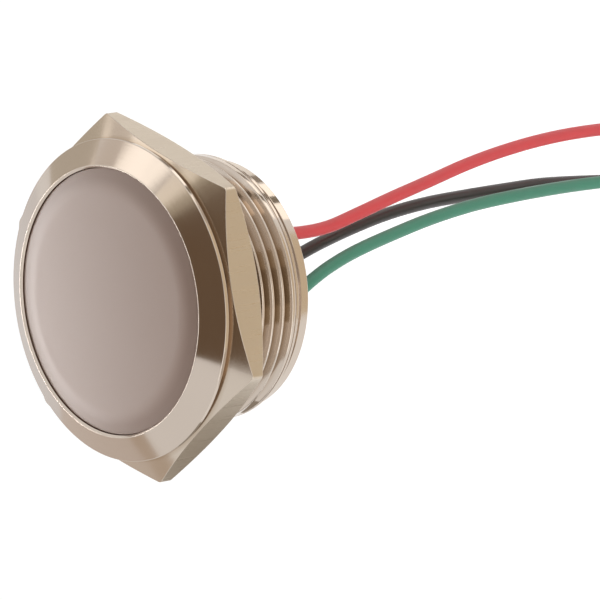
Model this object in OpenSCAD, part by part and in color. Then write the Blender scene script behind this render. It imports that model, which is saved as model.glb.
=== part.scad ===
// Panel pilot light: a turned metal bezel and threaded barrel in one piece, a domed frosted lens,
// a hexagon nut and a flat gasket for the panel, a lit board potted inside, and three flying leads.
// Millimetres. Z = 0 is the bezel's seat on the panel, +Z points out of the lens.

/* [Bezel] */
// Width of the bezel's flange outside the thread
flange_w = 3; // [2.4:0.1:7]
// Height of the bezel in front of the panel
bezel_h = 1.85; // [1.7:0.05:4]
// Height of the straight rim below the bevel
rim_h = 0.45; // [0.2:0.05:0.9]
// Width of the bevel, measured on the radius
bevel_w = 2.8; // [2:0.1:4]
// Width of the flat lip round the opening
lip_w = 0.3; // [0.1:0.05:0.8]
// Size of the small chamfer inside the lip
lip_chamfer = 0.2; // [0.05:0.05:0.4]
// Height of the lens seat in front of the panel plane
seat_z = 0.35; // [0.2:0.05:0.6]

/* [Barrel] */
// Length of the barrel behind the panel plane
barrel_l = 15.4; // [15:0.1:24]
// Outside diameter of the thread
thread_d = 30; // [26:0.5:40]
// Pitch of the thread
pitch = 1.5; // [0.75:0.25:2]
// Least width of the plain neck between the bezel and the thread
neck_w = 0.8; // [0.4:0.1:2]
// Width of the full-size land where the thread ends
land_w = 0.9; // [0.7:0.1:2]
// Width of the score line on that land
score_w = 0.2; // [0.1:0.05:0.3]
// Depth of the score line
score_depth = 0.25; // [0.05:0.05:0.5]
// Width of the relief groove behind the land
relief_w = 0.9; // [0.5:0.1:1.5]
// Depth of the relief groove below the collar
relief_depth = 0.3; // [0.1:0.05:0.45]
// Length of the smooth collar at the rear end
collar_l = 1.3; // [0.8:0.1:3]
// Distance of the smooth collar below the thread's crests
collar_drop = 0.75; // [0.3:0.05:1]
// Size of the chamfer at the collar's rear edge
collar_chamfer = 0.25; // [0.05:0.05:0.6]
// Thickness of the barrel's wall, measured at the thread's crests
barrel_wall = 1.8; // [1.6:0.1:2.6]

/* [Nut and gasket] */
// Thickness of the nut
nut_t = 4.4; // [3.4:0.1:6.5]
// Distance between the nut's flats and the round face that its chamfers leave
nut_face_inset = 0.5; // [0.1:0.05:1]
// Angle between the corner chamfer and the nut's face
nut_chamfer_angle = 25; // [12:1:30]
// Width of the countersink at each mouth of the nut's bore
nut_csk = 0.6; // [0.2:0.1:1]
// Radial clearance of the nut over the thread
nut_fit = 0.05; // [0.02:0.01:0.1]
// Thickness of the panel gasket
gasket_t = 0.4; // [0.2:0.1:1.2]
// Distance of the panel gasket's edge inside the bezel's rim
gasket_inset = 0.6; // [0.2:0.05:1.2]
// Radial clearance of the gasket over the thread
gasket_fit = 0.1; // [0.05:0.05:0.5]

/* [Lens] */
// Clearance round the lens in its opening, measured on the radius
lens_fit = 0.05; // [0.02:0.01:0.15]
// Depth of the lens edge below the lip
lens_recess = 0.35; // [0.1:0.05:0.6]
// Width of the sloping border between the lens edge and its dome
border_w = 2; // [0.5:0.1:4]
// Rise of the sloping border
border_h = 0.5; // [0.1:0.05:1]
// Height of the lens dome above its border
dome_h = 0.3; // [0.1:0.05:2.5]
// Depth of the lens plug inside the barrel
plug_h = 0.8; // [0.4:0.1:2]
// Thickness of the seal under the lens
seal_t = 0.25; // [0.1:0.05:0.4]

/* [Board] */
// Height of the reflector cup between the lens and the board
cup_h = 6.2; // [5:0.1:9]
// Thickness of the cup's wall at its mouth under the lens
cup_lip = 0.7; // [0.4:0.1:1.5]
// Diameter of the cup's floor opening round the lamps
cup_floor_d = 19; // [18:0.5:21]
// Thickness of the round board
board_t = 1.6; // [0.8:0.1:2]
// Distance of each lamp from the board's centre
led_ring_r = 6; // [5:0.1:7]
// Length of each lamp's body
led_l = 3.5; // [2.8:0.1:3.8]
// Width of each lamp's body
led_w = 2.8; // [2:0.1:3.2]
// Height of each lamp's body
led_h = 1.9; // [1:0.1:2.2]
// Length of each chip resistor
resistor_l = 6.3; // [4:0.1:6.6]
// Width of each chip resistor
resistor_w = 3.2; // [2:0.1:3.4]
// Thickness of each chip resistor
resistor_t = 0.6; // [0.4:0.05:1]
// Length of the diode's body
diode_l = 4.3; // [3:0.1:4.6]
// Width of the diode's body
diode_w = 2.6; // [1.5:0.1:2.8]
// Height of the diode's body
diode_h = 2.1; // [1:0.1:2.4]
// Height of each solder joint
solder_h = 1.2; // [0.6:0.1:2]
// Depth of the potting's rear face inside the collar
potting_recess = 0.5; // [0.1:0.1:1.5]
// Clearance between pieces that lie against each other in the bore
inner_fit = 0.02; // [0.01:0.01:0.05]

/* [Leads] */
// Outside diameter of each lead
lead_d = 1.5; // [1:0.1:1.8]
// Length of the stripped and tinned end of each lead
tinned_l = 6; // [3:0.5:10]
// Diameter of the tinned strands
tinned_d = 0.7; // [0.4:0.05:0.9]

/* [Hidden] */
$fn = 96;
// number of sides that draw the dome's wide arc
dome_fn = 720;
// how far a cutting shape runs out past the face that it opens
cut = 1;

thread_r = thread_d / 2;
bezel_r = thread_r + flange_w;
opening_r = bezel_r - bevel_w - lip_w;
// depth of a metric thread, whose flanks stand at 30 degrees
thread_depth = 0.6134 * pitch;
root_r = thread_r - thread_depth;
bore_r = thread_r - barrel_wall;
collar_r = thread_r - collar_drop;
relief_r = collar_r - relief_depth;
nut_r = thread_r + nut_fit;

// the thread's turns fill the barrel from the rear land up to the neck
relief_z = -barrel_l + collar_l;
land_z = relief_z + relief_w;
thread_z = land_z + land_w;
crest_w = pitch / 8;
flank_w = thread_depth * tan(30);
turns = floor((-neck_w - flank_w - thread_z) / pitch);
root_w = pitch - crest_w - 2 * flank_w;

// the land: a sloped rear face, a broken edge and a score line just forward of its middle
land_slope = 0.4;
land_chamfer = 0.15;
score_z = land_z + 0.6 * land_w;

// the stack inside the barrel, from the lens to the potting
lens_z = seat_z + seal_t;
lens_edge_z = bezel_h - lens_recess;
cup_z = seat_z - plug_h;
board_z = cup_z - cup_h;
board_back_z = board_z - board_t;
solder_z = board_back_z - solder_h;
potting_z = -barrel_l + potting_recess;

// the nut's flats line up with the bezel's rim, and its chamfers are cones that run out past its corners
nut_z = -gasket_t - inner_fit;
nut_face_r = bezel_r - nut_face_inset;
nut_corner_r = bezel_r / cos(30);
nut_runout = 0.2;
nut_drop = (nut_corner_r + nut_runout - nut_face_r) * tan(nut_chamfer_angle);

// lamps: three of each colour by turns, each with a clipped corner and a round cup in its top
led_count = 6;
led_clip = 0.6;
led_cup_depth = 0.6;
led_cup_floor_r = 0.3 * led_w;
led_cup_mouth_r = 0.42 * led_w;

// parts on the board's rear face, each a set distance in from the edge of the bore
part_inset = 5.7;
green_resistor_inset = 4.6;
red_resistor_at = [0, bore_r - part_inset];
green_resistor_at = [-0.5, green_resistor_inset - bore_r];
diode_at = [part_inset - bore_r, 2.4];
resistor_cap_l = 0.5;
resistor_cap_t = 0.05;
diode_strip_w = 1.4;
diode_strip_t = 0.3;
solder_foot = 0.6;

// where each lead leaves the board, then its own route, from the barrel's rear end
lead_starts = [[5, -3.5], [0.5, 0.5], [-4.5, -3.5]];
red_route = [[5, -3.5, -0.1], [4.8, -3.5, -4.6], [4.5, -3.4, -9.6], [4.7, -3.2, -14.1],
             [5.7, -3.1, -19.1], [7, -2.9, -25.1], [8.3, -2.7, -31.6], [9.6, -2.4, -38.1],
             [10.6, -2.2, -44.6], [11.3, -1.9, -51.6], [11.6, -1.6, -58.6], [11.5, -1.4, -65.6],
             [11.1, -1.2, -72.6], [10.7, -1.1, -79.6], [10.3, -1, -86.6], [10, -1, -93.6],
             [9.8, -1, -100.6], [9.7, -1, -107.6], [9.6, -1, -114.6], [9.6, -1, -121.6],
             [9.6, -1, -128.6], [9.6, -1, -135.6], [9.6, -1, -142.9]];
black_route = [[0.5, 0.5, -0.1], [0.7, 0.2, -4.6], [1.5, -0.3, -9.6], [2.9, -0.6, -14.6],
               [4.2, -0.4, -20.6], [5.2, -0.2, -26.6], [5.8, 0.1, -33.1], [6, 0.4, -39.6],
               [6.1, 0.7, -46.6], [6.1, 1.1, -53.6], [5.7, 1.4, -60.6], [5.2, 1.8, -67.6],
               [4.8, 2.1, -74.6], [4.4, 2.4, -81.6], [4.1, 2.6, -88.6], [3.9, 2.8, -95.6],
               [3.8, 2.9, -102.6], [3.8, 3, -109.6], [3.8, 3, -116.6], [3.8, 3, -123.6],
               [3.8, 3, -130.6], [3.8, 3, -136.6], [3.8, 3, -143.4]];
green_route = [[-4.5, -3.5, -0.1], [-3.6, -3.7, -3.6], [-2.4, -3.8, -7.1], [-1.1, -3.8, -9.8],
               [0.2, -3.7, -13.1], [1.5, -3.6, -17.6], [2.8, -3.3, -24.1], [3.9, -3, -30.6],
               [4.7, -2.6, -37.6], [5.1, -2.2, -44.6], [5.3, -1.9, -52.1], [5.3, -1.6, -59.6],
               [5.1, -1.6, -66.6], [4.7, -1.7, -73.6], [4.2, -1.9, -80.6], [3.8, -2.1, -87.6],
               [3.5, -2.3, -94.6], [3.2, -2.4, -101.6], [3, -2.5, -108.6], [2.9, -2.5, -115.6],
               [2.8, -2.5, -122.6], [2.8, -2.5, -129.6], [2.8, -2.5, -135.6], [2.8, -2.5, -141.9]];
lead_sides = 8;

// one turn of the thread as a ring: flank, root, flank and crest, with its rear edge at z
function thread_turn(z) = [
    [thread_r, z],
    [root_r, z + flank_w],
    [root_r, z + flank_w + root_w],
    [thread_r, z + pitch - crest_w]
];

function all_turns() = [for (i = [0:turns - 1]) each thread_turn(thread_z + i * pitch)];

function unit(v) = v / norm(v);

// the way the route runs at each of its points
function heading(route, i) =
    unit(route[min(i + 1, len(route) - 1)] - route[max(i - 1, 0)]);

function ring(route, i, r) =
    let (t = heading(route, i), u = unit(cross([0, 1, 0], t)), v = cross(t, u))
    [for (k = [0:lead_sides - 1])
        route[i] + r * (cos(360 * k / lead_sides) * u + sin(360 * k / lead_sides) * v)];

// a tube with flat ends, swept along the points of a route
module tube_along(route, d) {
    n = lead_sides;
    rings = len(route);
    points = [for (i = [0:rings - 1]) each ring(route, i, d / 2)];
    sides = [for (i = [0:rings - 2], k = [0:n - 1])
        [i * n + k, (i + 1) * n + k, (i + 1) * n + (k + 1) % n, i * n + (k + 1) % n]];
    near_end = [[for (k = [0:n - 1]) k]];
    far_end = [[for (k = [0:n - 1]) rings * n - 1 - k]];
    polyhedron(points, concat(sides, near_end, far_end), convexity = 4);
}

// turned in one piece: bevelled bezel, lens seat, threaded barrel, relief groove and collar
module bezel_body() {
    color([0.78, 0.74, 0.68])
    rotate_extrude()
    polygon(concat(
        [[bore_r, -barrel_l],
         [collar_r - collar_chamfer, -barrel_l],
         [collar_r, -barrel_l + collar_chamfer],
         [collar_r, relief_z],
         [relief_r, relief_z],
         [relief_r, land_z - (thread_r - relief_r) * land_slope],
         [thread_r - land_chamfer, land_z],
         [thread_r, land_z + land_chamfer],
         [thread_r, score_z - score_w / 2],
         [thread_r - score_depth, score_z],
         [thread_r, score_z + score_w / 2]],
        all_turns(),
        [[thread_r, thread_z + turns * pitch],
         [root_r, thread_z + turns * pitch + flank_w],
         [root_r, 0],
         [bezel_r, 0],
         [bezel_r, rim_h],
         [opening_r + lip_w, bezel_h],
         [opening_r + lip_chamfer, bezel_h],
         [opening_r, bezel_h - lip_chamfer],
         [opening_r, seat_z],
         [bore_r, seat_z]]
    ));
}

// frosted lens: a shallow dome inside a sloping border, a flat rim on the seat and a plug inside the barrel
module lens() {
    r = opening_r - lens_fit;
    foot_r = r - border_w;
    foot_z = lens_edge_z + border_h;
    dome_r = (foot_r * foot_r + dome_h * dome_h) / (2 * dome_h);
    color([0.74, 0.67, 0.64])
    rotate_extrude() {
        translate([0, cup_z])
        square([bore_r - lens_fit, lens_edge_z - cup_z]);
        polygon([[0, lens_z], [r, lens_z], [r, lens_edge_z], [foot_r, foot_z], [0, foot_z]]);
        intersection() {
            translate([0, foot_z + dome_h - dome_r])
            circle(r = dome_r, $fn = dome_fn);
            translate([0, lens_z])
            square([foot_r, foot_z + dome_h - lens_z]);
        }
    }
}

module flat_ring(inner_r, outer_r, z, h) {
    translate([0, 0, z])
    difference() {
        cylinder(r = outer_r, h = h);
        translate([0, 0, -cut])
        cylinder(r = inner_r, h = h + 2 * cut);
    }
}

// soft ring between the lens rim and its seat
module lens_seal() {
    color([0.85, 0.85, 0.82])
    flat_ring(bore_r + lens_fit, opening_r - lens_fit, seat_z, seal_t);
}

// black ring that the panel presses on, shown here between the bezel and the nut
module panel_gasket() {
    color([0.12, 0.12, 0.12])
    flat_ring(thread_r + gasket_fit, bezel_r - gasket_inset, -gasket_t, gasket_t);
}

// hexagon with both faces chamfered at the corners, bored to run over the thread
module hex_nut() {
    outer_r = nut_corner_r + nut_runout;
    color([0.74, 0.69, 0.62])
    translate([0, 0, nut_z - nut_t])
    difference() {
        intersection() {
            linear_extrude(nut_t)
            polygon([for (i = [0:5]) nut_corner_r * [cos(60 * i), sin(60 * i)]]);
            rotate_extrude()
            polygon([[0, 0], [nut_face_r, 0], [outer_r, nut_drop],
                     [outer_r, nut_t - nut_drop], [nut_face_r, nut_t], [0, nut_t]]);
        }
        rotate_extrude()
        polygon([[0, -cut], [nut_r + nut_csk + cut, -cut], [nut_r, nut_csk],
                 [nut_r, nut_t - nut_csk], [nut_r + nut_csk + cut, nut_t + cut], [0, nut_t + cut]]);
    }
}

// white cup between the lens and the board that spreads the light
module reflector_cup() {
    color([0.95, 0.95, 0.94])
    rotate_extrude()
    polygon([[cup_floor_d / 2, board_z + inner_fit],
             [bore_r - inner_fit, board_z + inner_fit],
             [bore_r - inner_fit, cup_z - inner_fit],
             [bore_r - inner_fit - cup_lip, cup_z - inner_fit]]);
}

// round board that fills the bore
module circuit_board() {
    color([0.9, 0.92, 0.9])
    translate([0, 0, board_back_z])
    cylinder(r = bore_r - inner_fit, h = board_t);
}

// one surface-mounted lamp: a block with a round cup in its top and one clipped corner
module led(place) {
    rotate([0, 0, 360 * place / led_count])
    translate([led_ring_r, 0, board_z + inner_fit])
    difference() {
        linear_extrude(led_h)
        polygon([[-led_w / 2, -led_l / 2], [led_w / 2 - led_clip, -led_l / 2],
                 [led_w / 2, -led_l / 2 + led_clip], [led_w / 2, led_l / 2],
                 [-led_w / 2, led_l / 2]]);
        rotate_extrude()
        polygon([[0, led_h - led_cup_depth], [led_cup_floor_r, led_h - led_cup_depth],
                 [led_cup_mouth_r, led_h], [led_cup_mouth_r, led_h + cut], [0, led_h + cut]]);
    }
}

module red_led(i) {
    color([0.98, 0.9, 0.86])
    led(2 * i);
}

module green_led(i) {
    color([0.9, 0.97, 0.88])
    led(2 * i + 1);
}

// sets a part against the board's rear face
module under_board(at, turn = 0) {
    translate([at[0], at[1], board_back_z - inner_fit])
    rotate([0, 0, turn])
    children();
}

// chip resistor: ceramic body with a metal cap at each end
module resistor_shape(grow) {
    translate([-resistor_l / 2 - grow, -resistor_w / 2 - grow, -resistor_t - grow])
    cube([resistor_l + 2 * grow, resistor_w + 2 * grow, resistor_t + grow]);
    for (side = [-1, 1])
        translate([side * (resistor_l - resistor_cap_l) / 2 - resistor_cap_l / 2 - grow,
                   -resistor_w / 2 - resistor_cap_t - grow, -resistor_t - resistor_cap_t - grow])
        cube([resistor_cap_l + 2 * grow, resistor_w + 2 * resistor_cap_t + 2 * grow,
              resistor_t + resistor_cap_t + grow]);
}

// blocking diode: a moulded block with a folded strip at each end
module diode_shape(grow) {
    translate([-diode_l / 2 - grow, -diode_w / 2 - grow, -diode_h - grow])
    cube([diode_l + 2 * grow, diode_w + 2 * grow, diode_h + grow]);
    translate([-diode_l / 2 - diode_strip_t - grow, -diode_strip_w / 2 - grow, -diode_h / 2 - grow])
    cube([diode_l + 2 * diode_strip_t + 2 * grow, diode_strip_w + 2 * grow, diode_h / 2 + grow]);
}

// cone of solder that holds the end of a lead on the board
module solder_shape(grow) {
    mirror([0, 0, 1])
    cylinder(r1 = lead_d / 2 + solder_foot + grow, r2 = lead_d / 2 + grow, h = solder_h - inner_fit);
}

module red_resistor() {
    color([0.13, 0.13, 0.14]) under_board(red_resistor_at) resistor_shape(0);
}

module green_resistor() {
    color([0.13, 0.13, 0.14]) under_board(green_resistor_at) resistor_shape(0);
}

module blocking_diode() {
    color([0.1, 0.1, 0.11]) under_board(diode_at, 90) diode_shape(0);
}

module solder_joint(start) {
    color([0.78, 0.78, 0.8]) under_board(start) solder_shape(0);
}

// cast resin behind the board, with the parts and the leads bedded in it
module potting() {
    color([0.1, 0.1, 0.1])
    difference() {
        translate([0, 0, potting_z])
        cylinder(r = bore_r - inner_fit, h = board_back_z - inner_fit - potting_z);
        under_board(red_resistor_at) resistor_shape(inner_fit);
        under_board(green_resistor_at) resistor_shape(inner_fit);
        under_board(diode_at, 90) diode_shape(inner_fit);
        for (start = lead_starts) {
            under_board(start) solder_shape(inner_fit);
            translate([start[0], start[1], potting_z - cut])
            cylinder(r = lead_d / 2 + inner_fit, h = solder_z - potting_z + cut + inner_fit);
        }
    }
}

// the whole insulated lead: straight out of its solder joint and the potting, then its route
module lead(start, route) {
    outside = [for (p = route) [p[0], p[1], p[2] - barrel_l]];
    tube_along(concat([[start[0], start[1], solder_z - inner_fit]], outside), lead_d);
}

// stripped strands below the end of a lead, twisted and tinned
module tinned_end(route) {
    tip = route[len(route) - 1];
    color([0.8, 0.8, 0.82])
    translate([tip[0], tip[1], tip[2] - barrel_l - tinned_l])
    cylinder(r = tinned_d / 2, h = tinned_l);
}

module red_lead() {
    color([0.8, 0.25, 0.28]) lead(lead_starts[0], red_route);
}

module black_lead() {
    color([0.15, 0.14, 0.14]) lead(lead_starts[1], black_route);
}

module green_lead() {
    color([0.22, 0.52, 0.42]) lead(lead_starts[2], green_route);
}

bezel_body();
lens();
lens_seal();
panel_gasket();
hex_nut();
reflector_cup();
circuit_board();
red_led(0);  // red_led_1
red_led(1);  // red_led_2
red_led(2);  // red_led_3
green_led(0);  // green_led_1
green_led(1);  // green_led_2
green_led(2);  // green_led_3
red_resistor();
green_resistor();
blocking_diode();
solder_joint(lead_starts[0]);  // red_solder_joint
solder_joint(lead_starts[1]);  // black_solder_joint
solder_joint(lead_starts[2]);  // green_solder_joint
potting();
red_lead();
black_lead();
green_lead();
tinned_end(red_route);  // red_tinned_end
tinned_end(black_route);  // black_tinned_end
tinned_end(green_route);  // green_tinned_end
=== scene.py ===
"""Finishes and fine shapes of a panel pilot light: turned nickel bezel and threaded barrel, hexagon nut,
frosted lens, gasket, potted board and three flying leads. Metres, Z = 0 on the bezel's seat, +Z out of
the lens."""

import math

import bpy
from mathutils import Matrix, Vector


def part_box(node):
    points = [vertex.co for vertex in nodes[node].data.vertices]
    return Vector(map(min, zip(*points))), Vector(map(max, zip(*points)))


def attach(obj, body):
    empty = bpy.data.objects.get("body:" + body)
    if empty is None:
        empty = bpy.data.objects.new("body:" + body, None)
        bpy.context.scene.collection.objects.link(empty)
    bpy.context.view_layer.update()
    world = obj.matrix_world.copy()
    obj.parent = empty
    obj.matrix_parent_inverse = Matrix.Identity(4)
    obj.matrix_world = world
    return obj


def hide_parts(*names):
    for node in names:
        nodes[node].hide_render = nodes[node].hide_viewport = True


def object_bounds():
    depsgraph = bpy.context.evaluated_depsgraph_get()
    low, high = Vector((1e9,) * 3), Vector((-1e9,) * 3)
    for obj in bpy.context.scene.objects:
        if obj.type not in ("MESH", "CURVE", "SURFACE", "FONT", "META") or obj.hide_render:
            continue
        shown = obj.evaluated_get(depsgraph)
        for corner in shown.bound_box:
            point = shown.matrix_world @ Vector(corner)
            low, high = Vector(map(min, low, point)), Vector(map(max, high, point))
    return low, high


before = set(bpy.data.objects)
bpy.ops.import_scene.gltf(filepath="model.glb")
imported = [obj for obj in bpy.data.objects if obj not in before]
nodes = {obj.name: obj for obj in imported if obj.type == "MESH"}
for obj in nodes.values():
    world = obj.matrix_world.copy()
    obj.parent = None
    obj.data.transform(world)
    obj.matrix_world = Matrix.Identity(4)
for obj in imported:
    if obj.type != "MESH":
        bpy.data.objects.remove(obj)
cad_low, cad_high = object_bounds()
mm = 0.001

# ---------------------------------------------------------------- camera

CAMERA_AT = Vector((5.15, -414.858, 348.132)) * mm
CAMERA_RIGHT = Vector((-0.14355, -0.66488, -0.73303))
CAMERA_UP = Vector((0.98953, -0.08535, -0.11636))
CAMERA_LENS = 293.4


def make_camera():
    """The camera, squared up from its place and its two directions."""
    data = bpy.data.cameras.new("camera")
    data.lens = CAMERA_LENS
    data.sensor_width = 36
    data.clip_start, data.clip_end = 0.01, 20
    camera = bpy.data.objects.new("camera", data)
    bpy.context.scene.collection.objects.link(camera)
    back = CAMERA_RIGHT.cross(CAMERA_UP).normalized()
    right = CAMERA_UP.cross(back).normalized()
    up = back.cross(right)
    turn = Matrix((right, up, back)).transposed().to_4x4()
    camera.matrix_world = Matrix.Translation(CAMERA_AT) @ turn
    bpy.context.scene.camera = camera


make_camera()

# ---------------------------------------------------------------- sizes, in millimetres

body_low, body_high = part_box("bezel_body")
nut_low, nut_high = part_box("hex_nut")
lens_low, lens_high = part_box("lens")
gasket_low, gasket_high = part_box("panel_gasket")
potting_low, potting_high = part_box("potting")

# The bezel, from its rim in to the opening, and the ledge that the lens rests on.
BEZEL_R = body_high.x / mm
BEZEL_H = body_high.z / mm
RIM_H = 0.45
BEVEL_W = 2.8
LIP_W = 0.3
LIP_CHAMFER = 0.2
OPENING_R = BEZEL_R - BEVEL_W - LIP_W
SEAT_Z = 0.35

# The barrel across: thread, bore and the depth of a metric screw thread.
RIM_STEP = 3
WALL = 1.8
THREAD_R = BEZEL_R - RIM_STEP
BORE_R = THREAD_R - WALL
PITCH = 1.5
THREAD_DEPTH = 0.6134 * PITCH
ROOT_R = THREAD_R - THREAD_DEPTH

# The barrel from its rear end forwards: collar, relief groove, plain land, thread, undercut.
BARREL_END = body_low.z / mm
COLLAR_L = 1.3
COLLAR_STEP = 0.75
RELIEF_L = 0.9
RELIEF_DEPTH = 0.3
LAND_L = 0.9
UNDERCUT_L = 1.8
COLLAR_R = THREAD_R - COLLAR_STEP
RELIEF_R = COLLAR_R - RELIEF_DEPTH
RELIEF_Z = BARREL_END + COLLAR_L
LAND_Z = RELIEF_Z + RELIEF_L
THREAD_Z = LAND_Z + LAND_L
THREAD_TOP = -UNDERCUT_L

# The line scored round the land.
SCORE_FROM_LAND = 0.54
SCORE_DEPTH = 0.25
SCORE_Z = LAND_Z + SCORE_FROM_LAND

NUT_CLEARANCE = 0.05
NUT_R = THREAD_R + NUT_CLEARANCE

# ---------------------------------------------------------------- mesh helpers


def add_piece(name, points, faces, uvs, sharp=40):
    """A mesh piece from points in millimetres, with one corner list of UVs for each face."""
    mesh = bpy.data.meshes.new(name)
    mesh.from_pydata([(x * mm, y * mm, z * mm) for x, y, z in points], [], faces)
    layer = mesh.uv_layers.new(name="UVMap")
    corners = [uv for face in uvs for uv in face]
    for corner, uv in zip(layer.data, corners):
        corner.uv = uv
    mesh.polygons.foreach_set("use_smooth", [True] * len(mesh.polygons))
    mesh.set_sharp_from_angle(angle=math.radians(sharp))
    mesh.validate()
    piece = bpy.data.objects.new(name, mesh)
    bpy.context.scene.collection.objects.link(piece)
    return piece


def soften(corners, steps=3, hold=0.02):
    """Rounds a profile's corners, given as (r, z, radius), and holds a ring on each side of them."""
    out = []
    count = len(corners)
    for i, (r, z, radius) in enumerate(corners):
        here = Vector((r, z))
        if not radius:
            out.append((r, z))
            continue
        before = Vector(corners[i - 1][:2]) - here
        after = Vector(corners[(i + 1) % count][:2]) - here
        angle = before.angle(after)
        cut = min(radius / math.tan(angle / 2), before.length * 0.45, after.length * 0.45)
        fitted = cut * math.tan(angle / 2)
        inwards = (before.normalized() + after.normalized()).normalized()
        middle = here + inwards * (fitted / math.sin(angle / 2))
        start = here + before.normalized() * cut
        end = here + after.normalized() * cut
        out.append(tuple(start + before.normalized() * hold))
        first = math.atan2(*(start - middle).yx)
        swing = math.remainder(math.atan2(*(end - middle).yx) - first, math.tau)
        for k in range(steps + 1):
            turn = first + swing * k / steps
            out.append((middle.x + fitted * math.cos(turn), middle.y + fitted * math.sin(turn)))
        out.append(tuple(end + after.normalized() * hold))
    return out


def evenly(columns, start=0.0):
    """Angles of equal columns round the axis, with the first one again at the end."""
    return [start + math.tau * c / columns for c in range(columns + 1)]


def turned(name, profile_at, angles, closed=True, sharp=40):
    """A body of revolution. profile_at(angle) gives its rows, as (r, z) in millimetres, and as many at
    every angle. Rows that fall on one point are merged, so a helix can begin and end anywhere on it."""
    points, index, faces, uvs = [], {}, [], []

    def corner(r, z, angle):
        x, y = r * math.cos(angle), r * math.sin(angle)
        key = (round(x, 4), round(y, 4), round(z, 4))
        if key not in index:
            index[key] = len(points)
            points.append((x, y, z))
        return index[key]

    grid = []
    for angle in angles:
        rows = profile_at(angle)
        if closed:
            rows = rows + rows[:1]
        length, column = 0.0, []
        for k, (r, z) in enumerate(rows):
            if k:
                length += math.dist(rows[k], rows[k - 1])
            column.append((corner(r, z, angle), (angle / math.tau, length)))
        grid.append(column)
    for left, right in zip(grid, grid[1:]):
        for k in range(len(left) - 1):
            ring = [left[k], right[k], right[k + 1], left[k + 1]]
            face, uv = [], []
            for vertex, place in ring:
                if vertex not in face:
                    face.append(vertex)
                    uv.append(place)
            if len(face) > 2:
                faces.append(face)
                uvs.append(uv)
    return add_piece(name, points, faces, uvs, sharp)


def tube(name, centres, radius, sides):
    """A closed tube along centres, in millimetres, with UVs of its turn and its length."""
    points, faces, uvs = [], [], []
    across = Vector((0, 1, 0))
    length, places = 0.0, []
    for i, centre in enumerate(centres):
        ahead = (centres[min(i + 1, len(centres) - 1)] - centres[max(i - 1, 0)]).normalized()
        side = across.cross(ahead).normalized()
        other = ahead.cross(side)
        if i:
            length += (centre - centres[i - 1]).length
        places.append(length)
        for k in range(sides):
            turn = math.tau * k / sides
            points.append(centre + radius * (math.cos(turn) * side + math.sin(turn) * other))
    for i in range(len(centres) - 1):
        for k in range(sides):
            n = (k + 1) % sides
            faces.append((i * sides + k, i * sides + n, (i + 1) * sides + n, (i + 1) * sides + k))
            uvs.append(
                [
                    (k / sides, places[i]),
                    ((k + 1) / sides, places[i]),
                    ((k + 1) / sides, places[i + 1]),
                    (k / sides, places[i + 1]),
                ]
            )
    last = (len(centres) - 1) * sides
    faces.append(tuple(range(sides - 1, -1, -1)))
    uvs.append([(k / sides, 0) for k in range(sides)])
    faces.append(tuple(last + k for k in range(sides)))
    uvs.append([(k / sides, length) for k in range(sides)])
    return add_piece(name, points, faces, uvs)


def curve_through(route, steps):
    """Points on a smooth curve through a route, with steps spans between its points."""
    out = []
    for i in range(len(route) - 1):
        p0 = route[max(i - 1, 0)]
        p1, p2 = route[i], route[i + 1]
        p3 = route[min(i + 2, len(route) - 1)]
        for k in range(steps):
            t = k / steps
            out.append(
                0.5
                * (
                    2 * p1
                    + (p2 - p0) * t
                    + (2 * p0 - 5 * p1 + 4 * p2 - p3) * t**2
                    + (3 * p1 - 3 * p2 + p3 - p0) * t**3
                )
            )
    out.append(route[-1])
    return out


# ---------------------------------------------------------------- leads

LEAD_D = 1.5
TINNED_L = 6
STRAND_R = 0.12
LAY_R = 0.23
RED_ROUTE = [
    (5, -3.5, -9.47), (5, -3.5, -15.5), (4.8, -3.5, -20), (4.5, -3.4, -25), (4.7, -3.2, -29.5),
    (5.7, -3.1, -34.5), (7, -2.9, -40.5), (8.3, -2.7, -47), (9.6, -2.4, -53.5), (10.6, -2.2, -60),
    (11.3, -1.9, -67), (11.6, -1.6, -74), (11.5, -1.4, -81), (11.1, -1.2, -88), (10.7, -1.1, -95),
    (10.3, -1, -102), (10, -1, -109), (9.8, -1, -116), (9.7, -1, -123), (9.6, -1, -130),
    (9.6, -1, -137), (9.6, -1, -144), (9.6, -1, -151), (9.6, -1, -158.3),
]
BLACK_ROUTE = [
    (0.5, 0.5, -9.47), (0.5, 0.5, -15.5), (0.7, 0.2, -20), (1.5, -0.3, -25), (2.9, -0.6, -30),
    (4.2, -0.4, -36), (5.2, -0.2, -42), (5.8, 0.1, -48.5), (6, 0.4, -55), (6.1, 0.7, -62),
    (6.1, 1.1, -69), (5.7, 1.4, -76), (5.2, 1.8, -83), (4.8, 2.1, -90), (4.4, 2.4, -97),
    (4.1, 2.6, -104), (3.9, 2.8, -111), (3.8, 2.9, -118), (3.8, 3, -125), (3.8, 3, -132),
    (3.8, 3, -139), (3.8, 3, -146), (3.8, 3, -152), (3.8, 3, -158.8),
]
GREEN_ROUTE = [
    (-4.5, -3.5, -9.47), (-4.5, -3.5, -15.5), (-3.6, -3.7, -19), (-2.4, -3.8, -22.5),
    (-1.1, -3.8, -25.2), (0.2, -3.7, -28.5), (1.5, -3.6, -33), (2.8, -3.3, -39.5), (3.9, -3, -46),
    (4.7, -2.6, -53), (5.1, -2.2, -60), (5.3, -1.9, -67.5), (5.3, -1.6, -75), (5.1, -1.6, -82),
    (4.7, -1.7, -89), (4.2, -1.9, -96), (3.8, -2.1, -103), (3.5, -2.3, -110), (3.2, -2.4, -117),
    (3, -2.5, -124), (2.9, -2.5, -131), (2.8, -2.5, -138), (2.8, -2.5, -145), (2.8, -2.5, -151),
    (2.8, -2.5, -157.3),
]
ROUTES = {"red": RED_ROUTE, "black": BLACK_ROUTE, "green": GREEN_ROUTE}


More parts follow.
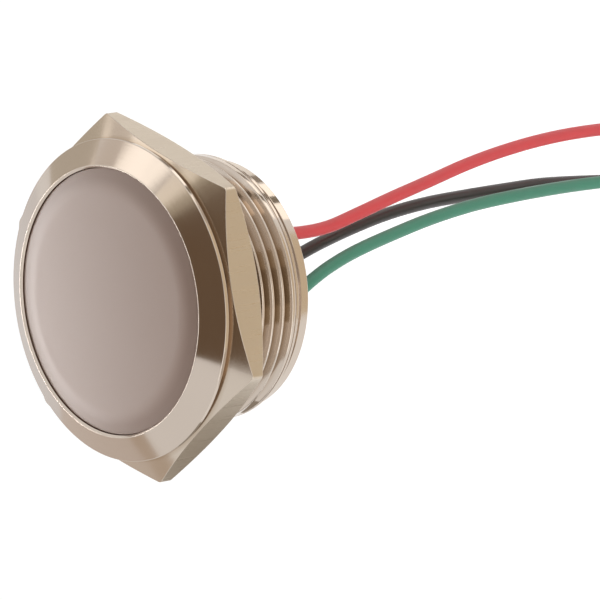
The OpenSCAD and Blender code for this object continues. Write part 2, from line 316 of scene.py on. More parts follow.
def strand_tree():
    """Twisted strands round a straight core, standing on Z = 0."""
    tree = bpy.data.node_groups.new("tinned_strands", "GeometryNodeTree")
    face = tree.interface
    for label, kind, value in [
        ("Strand radius", "NodeSocketFloat", STRAND_R * mm),
        ("Lay radius", "NodeSocketFloat", LAY_R * mm),
        ("Length", "NodeSocketFloat", TINNED_L * mm),
        ("Turns", "NodeSocketFloat", 1.6),
        ("Strands", "NodeSocketInt", 6),
        ("Metal", "NodeSocketMaterial", None),
    ]:
        socket = face.new_socket(name=label, in_out="INPUT", socket_type=kind)
        if value is not None:
            socket.default_value = value
    face.new_socket(name="Geometry", in_out="OUTPUT", socket_type="NodeSocketGeometry")
    add, link = tree.nodes.new, tree.links.new
    given = add("NodeGroupInput")
    spiral = add("GeometryNodeCurveSpiral")
    spiral.inputs["Resolution"].default_value = 24
    link(given.outputs["Turns"], spiral.inputs["Rotations"])
    link(given.outputs["Lay radius"], spiral.inputs["Start Radius"])
    link(given.outputs["Lay radius"], spiral.inputs["End Radius"])
    link(given.outputs["Length"], spiral.inputs["Height"])
    wire = add("GeometryNodeCurvePrimitiveCircle")
    wire.inputs["Resolution"].default_value = 10
    link(given.outputs["Strand radius"], wire.inputs["Radius"])
    strand = add("GeometryNodeCurveToMesh")
    strand.inputs["Fill Caps"].default_value = True
    link(spiral.outputs["Curve"], strand.inputs["Curve"])
    link(wire.outputs["Curve"], strand.inputs["Profile Curve"])
    spots = add("GeometryNodePoints")
    link(given.outputs["Strands"], spots.inputs["Count"])
    number = add("GeometryNodeInputIndex")
    step = add("ShaderNodeMath")
    step.operation = "DIVIDE"
    step.inputs[0].default_value = math.tau
    link(given.outputs["Strands"], step.inputs[1])
    turn = add("ShaderNodeMath")
    turn.operation = "MULTIPLY"
    link(number.outputs["Index"], turn.inputs[0])
    link(step.outputs[0], turn.inputs[1])
    turned_by = add("ShaderNodeCombineXYZ")
    link(turn.outputs[0], turned_by.inputs["Z"])
    lay = add("GeometryNodeInstanceOnPoints")
    link(spots.outputs["Points"], lay.inputs["Points"])
    link(strand.outputs["Mesh"], lay.inputs["Instance"])
    link(turned_by.outputs["Vector"], lay.inputs["Rotation"])
    foot = add("ShaderNodeCombineXYZ")
    link(given.outputs["Length"], foot.inputs["Z"])
    core_line = add("GeometryNodeCurvePrimitiveLine")
    link(foot.outputs["Vector"], core_line.inputs["End"])
    core = add("GeometryNodeCurveToMesh")
    core.inputs["Fill Caps"].default_value = True
    link(core_line.outputs["Curve"], core.inputs["Curve"])
    link(wire.outputs["Curve"], core.inputs["Profile Curve"])
    both = add("GeometryNodeJoinGeometry")
    link(lay.outputs["Instances"], both.inputs["Geometry"])
    link(core.outputs["Mesh"], both.inputs["Geometry"])
    real = add("GeometryNodeRealizeInstances")
    link(both.outputs["Geometry"], real.inputs["Geometry"])
    metal = add("GeometryNodeSetMaterial")
    link(real.outputs["Geometry"], metal.inputs["Geometry"])
    link(given.outputs["Metal"], metal.inputs["Material"])
    out = add("NodeGroupOutput")
    link(metal.outputs["Geometry"], out.inputs["Geometry"])
    return tree


def from_tree(name, tree, values, shift):
    """The plain mesh that a node tree makes, moved to its place."""
    holder = bpy.data.objects.new(name + "_tree", bpy.data.meshes.new(name + "_tree"))
    bpy.context.scene.collection.objects.link(holder)
    modifier = holder.modifiers.new("shape", "NODES")
    modifier.node_group = tree
    sockets = {s.name: s.identifier for s in tree.interface.items_tree if s.in_out == "INPUT"}
    for label, value in values.items():
        modifier[sockets[label]] = value
    bpy.context.view_layer.update()
    evaluated = holder.evaluated_get(bpy.context.evaluated_depsgraph_get())
    made = bpy.data.meshes.new_from_object(evaluated)
    holder.modifiers.remove(modifier)
    bpy.data.objects.remove(holder)
    made.name = name
    made.transform(Matrix.Translation(shift))
    made.polygons.foreach_set("use_smooth", [True] * len(made.polygons))
    made.set_sharp_from_angle(angle=math.radians(40))
    piece = bpy.data.objects.new(name, made)
    bpy.context.scene.collection.objects.link(piece)
    return piece


# ---------------------------------------------------------------- materials

FEED_LINE_SCALE = 7000
FEED_LINE_DEPTH = 0.0005
# Tint of the painted shade that darkens the nickel in grooves and crevices.
PAINTED_SHADE_TINT = (0.68, 0.6, 0.5)
# Lens colour over the cup, and over the ledge, where painted shade darkens it.
LENS_OVER_CUP = (0.285, 0.192, 0.148)
LENS_SHADED_OVER_LEDGE = (0.252, 0.167, 0.128)
LEDGE_SHADE_BLEND = 0.6


class Finish:
    """A material with its shader and short ways to add nodes to it."""

    def __init__(self, name, colour, metallic=0.0, roughness=0.5):
        self.material = bpy.data.materials.new(name)
        self.material.use_nodes = True
        self.tree = self.material.node_tree
        self.shader = self.tree.nodes["Principled BSDF"]
        self.set("Base Color", (*colour, 1))
        self.set("Metallic", metallic)
        self.set("Roughness", roughness)
        self.place = self.tree.nodes.new("ShaderNodeTexCoord")

    def set(self, socket, value):
        """Sets one plain value on the shader."""
        self.shader.inputs[socket].default_value = value

    def link(self, source, target):
        self.tree.links.new(source, target)

    def node(self, kind, **inputs):
        """A new node, with values for its inputs."""
        made = self.tree.nodes.new(kind)
        for socket, value in inputs.items():
            made.inputs[socket.replace("_", " ")].default_value = value
        return made

    def grain(self, scale, detail=3, stretch=(1, 1, 1), source="Object"):
        """Noise on the piece, stretched along its axes."""
        fit = self.node("ShaderNodeMapping")
        fit.inputs["Scale"].default_value = stretch
        self.link(self.place.outputs[source], fit.inputs["Vector"])
        noise = self.node("ShaderNodeTexNoise", Scale=scale, Detail=detail)
        self.link(fit.outputs["Vector"], noise.inputs["Vector"])
        return noise.outputs["Fac"]

    def between(self, factor, low, high, start=0.3, end=0.7):
        """Runs from low to high as a factor goes from start to end."""
        span = self.node("ShaderNodeMapRange")
        self.link(factor, span.inputs["Value"])
        for socket, value in [("From Min", start), ("From Max", end), ("To Min", low), ("To Max", high)]:
            span.inputs[socket].default_value = value
        return span.outputs["Result"]

    def blend(self, factor, low, high):
        """A colour between two, by a factor. Each is a colour or a socket that gives one."""
        mix = self.node("ShaderNodeMix")
        mix.data_type = "RGBA"
        self.link(factor, mix.inputs[0])
        for colour, socket in [(low, mix.inputs[6]), (high, mix.inputs[7])]:
            if isinstance(colour, tuple):
                socket.default_value = (*colour, 1)
            else:
                self.link(colour, socket)
        return mix.outputs[2]

    def spread(self, factor, colour, share):
        """A colour that strays from its own value by a share of it, each way."""
        low = tuple(c * (1 - share) for c in colour)
        high = tuple(min(c * (1 + share), 1) for c in colour)
        return self.blend(factor, low, high)

    def colour_from(self, source):
        self.link(source, self.shader.inputs["Base Color"])

    def roughness_from(self, source):
        self.link(source, self.shader.inputs["Roughness"])

    def maths(self, operation, first, second):
        """One sum on two sockets."""
        made = self.node("ShaderNodeMath")
        made.operation = operation
        self.link(first, made.inputs[0])
        self.link(second, made.inputs[1])
        return made.outputs[0]

    def radius_and_height(self):
        """Distance from the object's axis, and height along it."""
        split = self.node("ShaderNodeSeparateXYZ")
        self.link(self.place.outputs["Object"], split.inputs["Vector"])
        flat = self.node("ShaderNodeCombineXYZ")
        self.link(split.outputs["X"], flat.inputs["X"])
        self.link(split.outputs["Y"], flat.inputs["Y"])
        reach = self.node("ShaderNodeVectorMath")
        reach.operation = "LENGTH"
        self.link(flat.outputs["Vector"], reach.inputs[0])
        return reach.outputs["Value"], split.outputs["Z"]

    def bump(self, height, depth):
        """Raises the surface by a factor, with a depth in millimetres."""
        made = self.node("ShaderNodeBump", Strength=1.0, Distance=depth * mm)
        self.link(height, made.inputs["Height"])
        self.link(made.outputs["Normal"], self.shader.inputs["Normal"])


def turned_nickel(name, colour, roughness, shade_full_r, shade_gone_r, shade_from_z):
    """Bright nickel over a turned surface: lines of the lathe's feed, handling marks, and painted shade:
    a darker tint inside a given radius and in front of a given height, where shade falls in grooves and
    crevices."""
    finish = Finish(name, colour, 1.0, roughness)
    finish.roughness_from(finish.between(finish.grain(140, 4), roughness * 0.85, roughness * 1.2))
    radius, height = finish.radius_and_height()
    # Painted shade: the colour darkens inside one radius and in front of one height.
    unshaded = finish.maths(
        "MAXIMUM",
        finish.between(radius, 0, 1, shade_full_r * mm, shade_gone_r * mm),
        finish.between(height, 1, 0, (shade_from_z - 0.3) * mm, shade_from_z * mm),
    )
    painted_shade = tuple(c * tint for c, tint in zip(colour, PAINTED_SHADE_TINT))
    finish.colour_from(finish.blend(unshaded, painted_shade, finish.spread(finish.grain(60, 2), colour, 0.05)))
    finish.set("Anisotropic", 0.4)
    finish.set("Anisotropic Rotation", 0.25)
    around = finish.node("ShaderNodeTangent")
    around.direction_type = "RADIAL"
    around.axis = "Z"
    finish.link(around.outputs["Tangent"], finish.shader.inputs["Tangent"])
    lines = finish.node("ShaderNodeTexNoise")
    lines.noise_dimensions = "1D"
    lines.inputs["Scale"].default_value = FEED_LINE_SCALE
    lines.inputs["Detail"].default_value = 2
    finish.link(finish.maths("ADD", radius, height), lines.inputs["W"])
    finish.bump(lines.outputs["Fac"], FEED_LINE_DEPTH)
    return finish.material


def milled_nickel():
    """Satin nickel on the nut's flats, with draw lines along its axis."""
    finish = Finish("milled_nickel", (0.57, 0.49, 0.4), 1.0, 0.3)
    lines = finish.grain(6000, 3, stretch=(1, 1, 0.02))
    finish.roughness_from(finish.between(lines, 0.26, 0.36))
    finish.colour_from(finish.blend(finish.grain(90, 3), (0.54, 0.46, 0.37), (0.6, 0.52, 0.43)))
    finish.bump(lines, 0.0008)
    return finish.material


def frosted_lens():
    """Satin polycarbonate, with painted shade where it rests on the ledge: darker there and lighter over
    the cup.
    """
    finish = Finish("frosted_lens", LENS_OVER_CUP, 0.0, 0.42)
    radius, _ = finish.radius_and_height()
    # Painted shade: the colour darkens over the ledge, outside the bore's radius.
    ledge = finish.between(radius, 0, 1, (BORE_R - LEDGE_SHADE_BLEND) * mm, (BORE_R + LEDGE_SHADE_BLEND) * mm)
    finish.colour_from(finish.blend(ledge, LENS_OVER_CUP, LENS_SHADED_OVER_LEDGE))
    finish.bump(finish.grain(5200, 2), 0.004)
    finish.set("Subsurface Weight", 0.25)
    finish.set("Subsurface Radius", (1.0, 0.9, 0.85))
    finish.set("Subsurface Scale", 1.2 * mm)
    finish.set("IOR", 1.58)
    return finish.material


def lead_sleeve(name, colour):
    """Matte extruded insulation: faint lines along it and a slight bloom."""
    finish = Finish(name, colour, 0.0, 0.42)
    lines = finish.grain(7, 3, stretch=(9, 0.05, 1), source="UV")
    bloom = finish.grain(260, 3)
    finish.roughness_from(finish.between(bloom, 0.36, 0.5))
    low = tuple(c * 0.9 for c in colour)
    high = tuple(min(c * 1.12, 1) for c in colour)
    finish.colour_from(finish.blend(bloom, low, high))
    finish.bump(lines, 0.01)
    return finish.material


def speckled(name, colour, metallic, roughness, scale, depth):
    """A plain finish with fine grain in its tone, roughness and surface."""
    finish = Finish(name, colour, metallic, roughness)
    noise = finish.grain(scale, 4)
    finish.colour_from(finish.spread(noise, colour, 0.08))
    finish.roughness_from(finish.between(noise, roughness * 0.85, roughness * 1.15))
    finish.bump(noise, depth)
    return finish.material


# ---------------------------------------------------------------- leads, made first

strand_metal = speckled("tinned_strands", (0.72, 0.72, 0.73), 1.0, 0.28, 900, 0.004)
strands = strand_tree()
LEAD_COLOURS = {
    "red": (0.85, 0.068, 0.075),
    "black": (0.046, 0.034, 0.03),
    "green": (0.064, 0.29, 0.18),
}
for hue, route in ROUTES.items():
    centres = [Vector(p) for p in route]
    centreline = curve_through(centres, 4)
    lead = tube(f"{hue}_lead_sleeve", centreline, LEAD_D / 2, 28)
    lead.data.materials.append(lead_sleeve(f"{hue}_pvc", LEAD_COLOURS[hue]))
    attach(lead, "light")
    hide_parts(f"{hue}_lead")
    tip = from_tree(
        f"{hue}_tinned_strands",
        strands,
        {
            "Length": TINNED_L * mm,
            "Strand radius": STRAND_R * mm,
            "Lay radius": LAY_R * mm,
            "Metal": strand_metal,
        },
        Vector((*centres[-1].xy, centres[-1].z - TINNED_L)) * mm,
    )
    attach(tip, "light")
    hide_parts(f"{hue}_tinned_end")

# ---------------------------------------------------------------- bezel and barrel

COLUMNS = 192
THREAD_START = math.radians(-175)
THREAD_BEHIND = 0.2
RUN_IN = math.radians(50)
CREST_ROUND = 0.1
ROOT_ROUND = 0.16
FLANK_W = THREAD_DEPTH * math.tan(math.radians(30))
CREST_W = PITCH / 8
ROOT_W = PITCH - CREST_W - 2 * FLANK_W


def groove_rows():
    """One groove of the thread, as (distance along the axis, depth) from its rear edge forwards."""
    corners = [
        (0, -0.4, 0),
        (0, 0, CREST_ROUND),
        (THREAD_DEPTH, FLANK_W, ROOT_ROUND),
        (THREAD_DEPTH, FLANK_W + ROOT_W, ROOT_ROUND),
        (0, 2 * FLANK_W + ROOT_W, CREST_ROUND),
        (0, PITCH, 0),
    ]
    return [(z, depth) for depth, z in soften(corners, steps=2, hold=0.03)[1:-1]]


def helix_rows(groove, low, high, surface_r, way, first_z, start, runs_in):
    """Rows of a thread between two heights: way is -1 for a groove cut inwards and +1 for one cut
    outwards, and runs_in lets the groove deepen gradually from its rear end."""
    turns = math.ceil((high - low) / PITCH) + 2

    def depth_at(depth, unwound):
        if not runs_in:
            return depth
        fade = min(max(unwound / RUN_IN, 0), 1)
        return depth * fade * fade * (3 - 2 * fade)

    def rows_at(angle):
        turn = angle - start
        line = []
        for k in range(-2, turns):
            base = first_z + PITCH * (turn / math.tau + k)
            for z, depth in groove:
                line.append((base + z, depth_at(depth, turn + math.tau * k)))
        out = []
        for z, depth in line:
            if z < low or z > high:
                edge = low if z < low else high
                for (z0, d0), (z1, d1) in zip(line, line[1:]):
                    if z0 <= edge <= z1 and z1 > z0:
                        depth = d0 + (d1 - d0) * (edge - z0) / (z1 - z0)
                        break
                else:
                    depth = 0.0
                z = edge
            out.append((surface_r + way * depth, z))
        return out

    return rows_at


def bezel_profile():
    """Bezel, thread and rear collar, as rows for each angle."""
    first_z = THREAD_Z - THREAD_BEHIND
    low = first_z - 0.02
    thread = helix_rows(groove_rows(), low, THREAD_TOP, THREAD_R, -1, first_z, THREAD_START, True)
    front = soften(
        [
            (BORE_R, BARREL_END, 0.08),
            (BORE_R, SEAT_Z, 0.05),
            (OPENING_R, SEAT_Z, 0.04),
            (OPENING_R, BEZEL_H - LIP_CHAMFER, 0.04),
            (OPENING_R + LIP_CHAMFER, BEZEL_H, 0.03),
            (OPENING_R + LIP_W, BEZEL_H, 0.05),
            (BEZEL_R, RIM_H, 0.07),
            (BEZEL_R, 0, 0.05),
            (ROOT_R, 0, 0.06),
            (ROOT_R, THREAD_TOP + FLANK_W, 0),
        ]
    )
    rear = soften(
        [
            (THREAD_R, SCORE_Z + 0.1, 0.02),
            (THREAD_R - SCORE_DEPTH, SCORE_Z, 0.03),
            (THREAD_R, SCORE_Z - 0.1, 0.02),
            (THREAD_R, LAND_Z + 0.15, 0.04),
            (THREAD_R - 0.15, LAND_Z, 0.04),
            (RELIEF_R, LAND_Z - (THREAD_R - RELIEF_R) * 0.4, 0.06),
            (RELIEF_R, RELIEF_Z, 0.04),
            (COLLAR_R, RELIEF_Z, 0.06),
            (COLLAR_R, BARREL_END + 0.25, 0.06),
            (COLLAR_R - 0.25, BARREL_END, 0.05),
        ],
        steps=2,
        hold=0.01,
    )

    def rows_at(angle):
        return front + thread(angle)[::-1] + rear

    return rows_at


body = turned("turned_bezel_and_barrel", bezel_profile(), evenly(COLUMNS, THREAD_START))
# The nickel carries painted shade in the thread's grooves, the undercut, the bore and the ledge under
# the lens.
body.data.materials.append(
    turned_nickel("turned_nickel", (0.57, 0.49, 0.42), 0.1, ROOT_R, THREAD_R - SCORE_DEPTH, LAND_Z)
)
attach(body, "light")
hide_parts("bezel_body")

# ---------------------------------------------------------------- nut

NUT_TOP = nut_high.z / mm
NUT_BASE = nut_low.z / mm
NUT_FLAT_R = BEZEL_R
NUT_CORNER_R = NUT_FLAT_R / math.cos(math.pi / 6)
NUT_CORNER_ROUND = 0.6
FACE_STEP = 0.5
NUT_FACE_R = NUT_FLAT_R - FACE_STEP
NUT_CHAMFER = math.tan(math.radians(25))
COUNTERSINK = 0.6

# Painted shade, a darker tint, lies on the nut's front, in the corner behind the bezel.
NUT_SHADE_FULL_R = NUT_FACE_R - 0.1
NUT_SHADE_GONE_R = NUT_FLAT_R + 0.3
NUT_SHADE_FROM_Z = -2


def nut_angles():
    """Columns round the nut, close together over each rounded corner."""
    arc = math.asin(NUT_CORNER_ROUND / 2 / NUT_CORNER_R)
    corner = [arc * k / 4 for k in range(-4, 5)]
    side = [arc + (math.pi / 3 - 2 * arc) * k / 24 for k in range(1, 24)]
    return [math.pi / 3 * k + angle for k in range(6) for angle in corner + side] + [math.tau - arc]


def hexagon_r(angle):
    """Distance from the axis to the rounded hexagon, whose corners point along X."""
    turn = angle % (math.pi / 3) - math.pi / 6
    flat = NUT_FLAT_R / math.cos(turn)
    middle = (NUT_FLAT_R - NUT_CORNER_ROUND) / math.cos(math.pi / 6)
    off = math.pi / 6 - abs(turn)
    root = NUT_CORNER_ROUND**2 - (middle * math.sin(off)) ** 2
    if root < 0:
        return flat
    corner = middle * math.cos(off) + math.sqrt(root)
    return min(flat, corner)


def nut_profile():
    """The nut between its chamfers and its threaded bore, as rows for each angle."""
    low, high = NUT_BASE + COUNTERSINK, NUT_TOP - COUNTERSINK
    thread = helix_rows(groove_rows(), low, high, NUT_R, 1, low - PITCH, 0.0, False)

    def rows_at(angle):
        outer = hexagon_r(angle)
        drop = max((outer - NUT_FACE_R) * NUT_CHAMFER, 0)
        shell = soften(
            [
                (NUT_R, low, 0),
                (NUT_R + COUNTERSINK, NUT_BASE, 0.04),
                (NUT_FACE_R, NUT_BASE, 0.1),
                (outer, NUT_BASE + drop, 0.06),
                (outer, NUT_TOP - drop, 0.06),
                (NUT_FACE_R, NUT_TOP, 0.1),
                (NUT_R + COUNTERSINK, NUT_TOP, 0.04),
                (NUT_R, high, 0),
            ]
        )
        return shell + thread(angle)[::-1]

    return rows_at


nut = turned("chamfered_hex_nut", nut_profile(), nut_angles())
# The nut's nickel carries painted shade in the corner behind the bezel.
nut.data.materials.append(
    turned_nickel("faced_nickel", (0.57, 0.49, 0.41), 0.13, NUT_SHADE_FULL_R, NUT_SHADE_GONE_R, NUT_SHADE_FROM_Z)
)
nut.data.materials.append(milled_nickel())
for face in nut.data.polygons:
    if abs(face.normal.z) < 0.2 and Vector(face.center.xy).length > (NUT_FLAT_R - 0.2) * mm:
        face.material_index = 1
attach(nut, "nut")
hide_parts("hex_nut")

# ---------------------------------------------------------------- lens and gasket

LENS_R = lens_high.x / mm
LENS_TOP = lens_high.z / mm
LENS_RECESS = 0.35
LENS_EDGE = BEZEL_H - LENS_RECESS
BORDER_W = 2
BORDER_H = 0.5
FOOT_ROUND = 12
DOME_START = 2.2
PLUG_CLEARANCE = 0.05
PLUG_R = BORE_R - PLUG_CLEARANCE
SEAL_T = 0.25


def lens_profile():
    """The underside's steps, a sloping border with soft corners, and the dome up to the pole."""
    low = lens_low.z / mm
    step = SEAT_Z + SEAL_T
    foot_r, foot_z = LENS_R - BORDER_W, LENS_EDGE + BORDER_H
    rise = LENS_TOP - foot_z
    dome_r = (foot_r**2 + rise**2) / (2 * rise)
    rings = 26
    dome = []
    for k in range(rings + 1):
        r = (foot_r - DOME_START) * (1 - k / rings)
        dome.append((r, LENS_TOP - dome_r + math.sqrt(dome_r**2 - r**2)))
    shell = soften(
        [
            (0, low, 0),
            (PLUG_R, low, 0.1),
            (PLUG_R, step, 0.03),
            (LENS_R, step, 0.05),
            (LENS_R, LENS_EDGE, 0.08),
            (foot_r, foot_z, FOOT_ROUND),
            dome[0] + (0,),
        ],
        steps=8,
    )
    return shell + dome[1:]


lens = turned("domed_lens", lambda angle: lens_profile(), evenly(128), closed=False, sharp=30)
lens.data.materials.append(frosted_lens())
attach(lens, "light")
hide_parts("lens")

GASKET_CLEARANCE = 0.1
GASKET_IN = THREAD_R + GASKET_CLEARANCE
GASKET_OUT = gasket_high.x / mm
gasket_rows = soften(
    [
        (GASKET_IN, gasket_low.z / mm, 0.05),
        (GASKET_IN, gasket_high.z / mm, 0.05),
        (GASKET_OUT, gasket_high.z / mm, 0.12),
        (GASKET_OUT, gasket_low.z / mm, 0.12),
    ]
)
gasket = turned("flat_gasket", lambda angle: gasket_rows, evenly(128))
gasket.data.materials.append(speckled("gasket_rubber", (0.02, 0.019, 0.018), 0.0, 0.7, 1500, 0.01))
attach(gasket, "light")
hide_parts("panel_gasket")

# ---------------------------------------------------------------- potting

POTTING_R = potting_high.x / mm
WALL_RISE = 0.22
WALL_REACH = 0.35
LEAD_RISE = 0.2
LEAD_REACH = 0.3
WAVE = 0.015


def potted_resin():
    """Cast resin with a meniscus at the barrel's wall and round each lead."""
    back, front = potting_low.z / mm, potting_high.z / mm
    rings, columns = 44, 120
    exits = [Vector(route[0][:2]) for route in ROUTES.values()]

    def surface(r, angle):
        spot = Vector((r * math.cos(angle), r * math.sin(angle)))
        rise = WALL_RISE * math.exp(-(POTTING_R - r) / WALL_REACH)
        for way_out in exits:
            gap = max((spot - way_out).length - LEAD_D / 2, 0)
            rise += LEAD_RISE * math.exp(-gap / LEAD_REACH)
        wave = WAVE * math.sin(spot.x * 0.9 + 1.3) * math.cos(spot.y * 0.7)
        return back - rise - wave + 0.02

    def rows_at(angle):
        radii = [POTTING_R * k / rings for k in range(rings + 1)]
        back_rows = [(r, surface(r, angle)) for r in radii]
        return back_rows + [(POTTING_R, front), (0, front)]

    return turned("potted_resin", rows_at, evenly(columns), closed=False)


resin = potted_resin()
resin.data.materials.append(speckled("potting_resin", (0.02, 0.02, 0.021), 0.0, 0.3, 420, 0.02))
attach(resin, "light")
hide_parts("potting")

# ---------------------------------------------------------------- pieces inside, as the frame has them

INNER_FINISHES = {
    "seal_silicone": (["lens_seal"], (0.8, 0.8, 0.77), 0.0, 0.5, 700, 0.01),
    "cup_white": (["reflector_cup"], (0.86, 0.86, 0.84), 0.0, 0.4, 500, 0.008),
    "board_white": (["circuit_board"], (0.82, 0.84, 0.8), 0.0, 0.35, 600, 0.006),
    "led_red_pkg": ([f"red_led_{i}" for i in (1, 2, 3)], (0.88, 0.72, 0.6), 0.0, 0.3, 900, 0.004),
    "led_green_pkg": ([f"green_led_{i}" for i in (1, 2, 3)], (0.75, 0.85, 0.7), 0.0, 0.3, 900, 0.004),
    "chip_black": (["red_resistor", "green_resistor"], (0.04, 0.04, 0.045), 0.0, 0.4, 1200, 0.004),
    "diode_black": (["blocking_diode"], (0.03, 0.03, 0.032), 0.0, 0.45, 1200, 0.006),
    "solder": ([f"{hue}_solder_joint" for hue in ROUTES], (0.7, 0.7, 0.71), 1.0, 0.22, 500, 0.01),
}
for label, (members, colour, metallic, roughness, scale, depth) in INNER_FINISHES.items():
    finish = speckled(label, colour, metallic, roughness, scale, depth)
    for member in members:
        nodes[member].data.materials.clear()
        nodes[member].data.materials.append(finish)

# ---------------------------------------------------------------- studio

FLOOR_DROP = 10 * mm


def seen_directly(tree):
    """A socket that is 1 for the camera, for gloss and through clear things, and 0 for other rays."""
    path = tree.nodes.new("ShaderNodeLightPath")
    seen = path.outputs["Is Camera Ray"]
    for ray in ("Is Glossy Ray", "Is Transmission Ray"):
        either = tree.nodes.new("ShaderNodeMath")
        either.operation = "MAXIMUM"
        tree.links.new(seen, either.inputs[0])
        tree.links.new(path.outputs[ray], either.inputs[1])
        seen = either.outputs[0]
    return seen


def floor_material(name, colour, own_light):
    """A plain surface that keeps shadows and has some light of its own where it is seen directly."""
    material = bpy.data.materials.new(name)
    material.use_nodes = True
    tree = material.node_tree
    tree.nodes.clear()
    link = tree.links.new
    plain = tree.nodes.new("ShaderNodeBsdfDiffuse")
    plain.inputs["Color"].default_value = (*colour, 1)
    glow = tree.nodes.new("ShaderNodeEmission")
    level = tree.nodes.new("ShaderNodeMath")
    level.operation = "MULTIPLY"
    link(seen_directly(tree), level.inputs[0])
    level.inputs[1].default_value = own_light
    link(level.outputs[0], glow.inputs["Strength"])
    both = tree.nodes.new("ShaderNodeAddShader")
    link(plain.outputs[0], both.inputs[0])
    link(glow.outputs[0], both.inputs[1])
    out = tree.nodes.new("ShaderNodeOutputMaterial")
    link(both.outputs[0], out.inputs["Surface"])
    return material


def panel(name, at, facing, width, height, material, lean=0.0):
    """A flat stage panel that faces a point, turned by lean about its own middle."""
    mesh = bpy.data.meshes.new(name)
    w, h = width / 2, height / 2
    mesh.from_pydata([(-w, -h, 0), (w, -h, 0), (w, h, 0), (-w, h, 0)], [], [(0, 1, 2, 3)])
    mesh.materials.append(material)
    made = bpy.data.objects.new(name, mesh)
    bpy.context.scene.collection.objects.link(made)
    aimed = (Vector(facing) - Vector(at)).to_track_quat("Z", "Y").to_matrix()
    made.matrix_world = Matrix.Translation(at) @ (aimed @ Matrix.Rotation(lean, 3, "Z")).to_4x4()
    return made


def lamp(name, at, facing, width, height, watts):
    """A white area lamp that faces a point."""
    data = bpy.data.lights.new(name, "AREA")
    data.shape = "RECTANGLE"
    data.size, data.size_y = width, height
    data.energy = watts
    made = bpy.data.objects.new(name, data)
    bpy.context.scene.collection.objects.link(made)
    made.location = at
    made.rotation_euler = (Vector(at) - Vector(facing)).to_track_quat("Z", "Y").to_euler()
    made.visible_camera = False


def towards(azimuth, elevation, distance):
    """The point at a distance from the origin, in a direction given in degrees."""
    a, e = math.radians(azimuth), math.radians(elevation)
    return Vector((math.cos(e) * math.cos(a), math.cos(e) * math.sin(a), math.sin(e))) * distance


def card(name, at, width, height, colour, strength=1.0, lean=0.0, facing=(0, 0, 0)):
    """A coloured card that only shows in the object's gloss."""
    material = bpy.data.materials.new(name)
    material.use_nodes = True
    tree = material.node_tree
    tree.nodes.clear()
    glow = tree.nodes.new("ShaderNodeEmission")
    glow.inputs["Color"].default_value = (*colour, 1)
    glow.inputs["Strength"].default_value = strength
    out = tree.nodes.new("ShaderNodeOutputMaterial")
    tree.links.new(glow.outputs[0], out.inputs["Surface"])
    made = panel(name, at, facing, width, height, material, lean)
    made.visible_camera = False
    made.visible_diffuse = False
    made.visible_shadow = False
    made.visible_transmission = False


floor_z = cad_low.z - FLOOR_DROP
white = floor_material("floor_white", (0.86, 0.86, 0.86), 0.5)
panel("floor", (0, 0, floor_z), (0, 0, 1), 6, 6, white)

# Strips over the bevel: azimuth, elevation, width, colour and strength.
STRIP_AWAY = 0.6
STRIP_H = 0.26
STRIP_LEAN = math.radians(-55)
STRIPS = [
    ("strip_beige", 12, 65.3, 0.046, (0.68, 0.62, 0.5), 1),
    ("strip_brown", 17.3, 60.8, 0.03, (0.52, 0.46, 0.36), 1),
    ("strip_pale", 22, 56.5, 0.055, (1, 0.95, 0.85), 1.2),
    ("strip_shade", 27, 52, 0.022, (0.48, 0.45, 0.42), 1),
    ("strip_high", 31.5, 47.3, 0.058, (1, 0.98, 0.95), 1.75),
    ("strip_low", 41.3, 37, 0.042, (1, 0.98, 0.95), 1.8),
    ("strip_soft", 47.7, 30.3, 0.062, (0.82, 0.76, 0.7), 1),
    ("shade_right", 61, 15, 0.22, (0.68, 0.63, 0.55), 1),
]
for name, azimuth, elevation, width, colour, strength in STRIPS:
    card(name, towards(azimuth, elevation, STRIP_AWAY), width, STRIP_H, colour, strength, STRIP_LEAN)

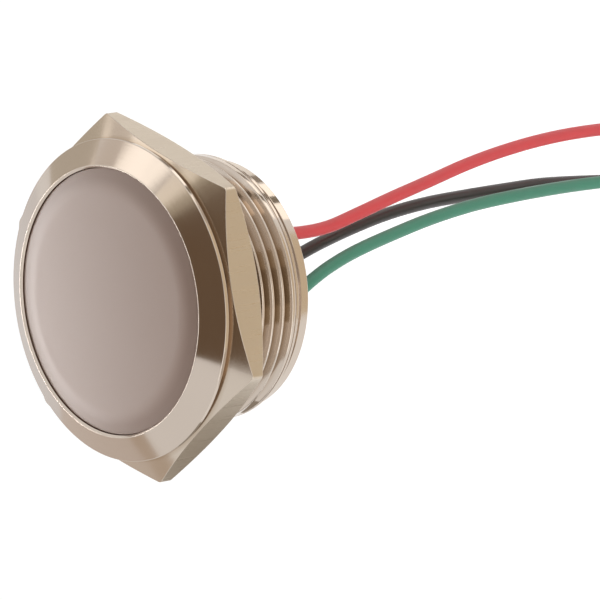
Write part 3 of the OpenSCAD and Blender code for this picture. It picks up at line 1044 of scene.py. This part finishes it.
# Cards round the nut and the thread: azimuth, elevation, distance, width, height, colour, strength.
CARDS = [
    ("thread_shade", -98, -18, 0.31, 0.33, 0.13, (0.68, 0.59, 0.46), 1),
    ("thread_card", -98, -18, 0.3, 0.15, 0.13, (0.42, 0.35, 0.26), 1),
    ("glint_low", -32, -27, 0.2, 0.046, 0.146, (1, 0.97, 0.92), 1.9),
    ("glint_gap", -19, -27, 0.2, 0.021, 0.146, (0.3, 0.26, 0.2), 1),
    ("glint_high", -7, -27, 0.2, 0.045, 0.146, (1, 0.97, 0.92), 1.9),
    ("glint_shade", 14, -27, 0.2, 0.056, 0.146, (0.4, 0.35, 0.3), 1),
    ("left_card", 88, -9, 0.6, 0.45, 0.18, (0.86, 0.85, 0.86), 1),
    ("chamfer_card", 126.5, 26, 0.45, 0.1, 0.07, (0.64, 0.54, 0.45), 1),
    ("chamfer_light", 55.5, 25.3, 0.45, 0.05, 0.03, (1, 0.96, 0.9), 1.5),
    ("flat_card", 31, -41, 0.19, 0.08, 0.06, (1, 0.98, 0.94), 1.2),
]
for name, azimuth, elevation, distance, width, height, colour, strength in CARDS:
    card(name, towards(azimuth, elevation, distance), width, height, colour, strength)

card("shade_left", towards(114, 9, 0.6), 0.3, 0.4, (0.77, 0.7, 0.65), lean=math.radians(48))
card("overhead_card", (-0.013, -0.03, 0.5), 0.42, 0.5, (0.19, 0.13, 0.085))
card("bench_card", (0, -0.3, floor_z + 0.004), 0.4, 0.3, (0.87, 0.74, 0.55), facing=(0, -0.3, 1))
card("corner_card", (-0.0324, 0.0037, -0.0196), 0.016, 0.018, (0.4, 0.36, 0.31))

lamp("key", towards(90, 24, 0.17), (0, 0, 0), 0.12, 0.055, 0.18)
lamp("front_fill", (-0.4, -0.6, 0.3), (0, 0, -0.03), 0.8, 0.6, 1.5)


def make_world():
    """White where it is seen directly, and dimmer as a light."""
    world = bpy.data.worlds.new("studio")
    bpy.context.scene.world = world
    world.use_nodes = True
    tree = world.node_tree
    back = tree.nodes["Background"]
    back.inputs["Color"].default_value = (1, 1, 1, 1)
    level = tree.nodes.new("ShaderNodeMapRange")
    level.inputs["To Min"].default_value = 0.55
    level.inputs["To Max"].default_value = 1.0
    tree.links.new(seen_directly(tree), level.inputs["Value"])
    tree.links.new(level.outputs["Result"], back.inputs["Strength"])


make_world()
bpy.context.scene.view_settings.view_transform = "Standard"
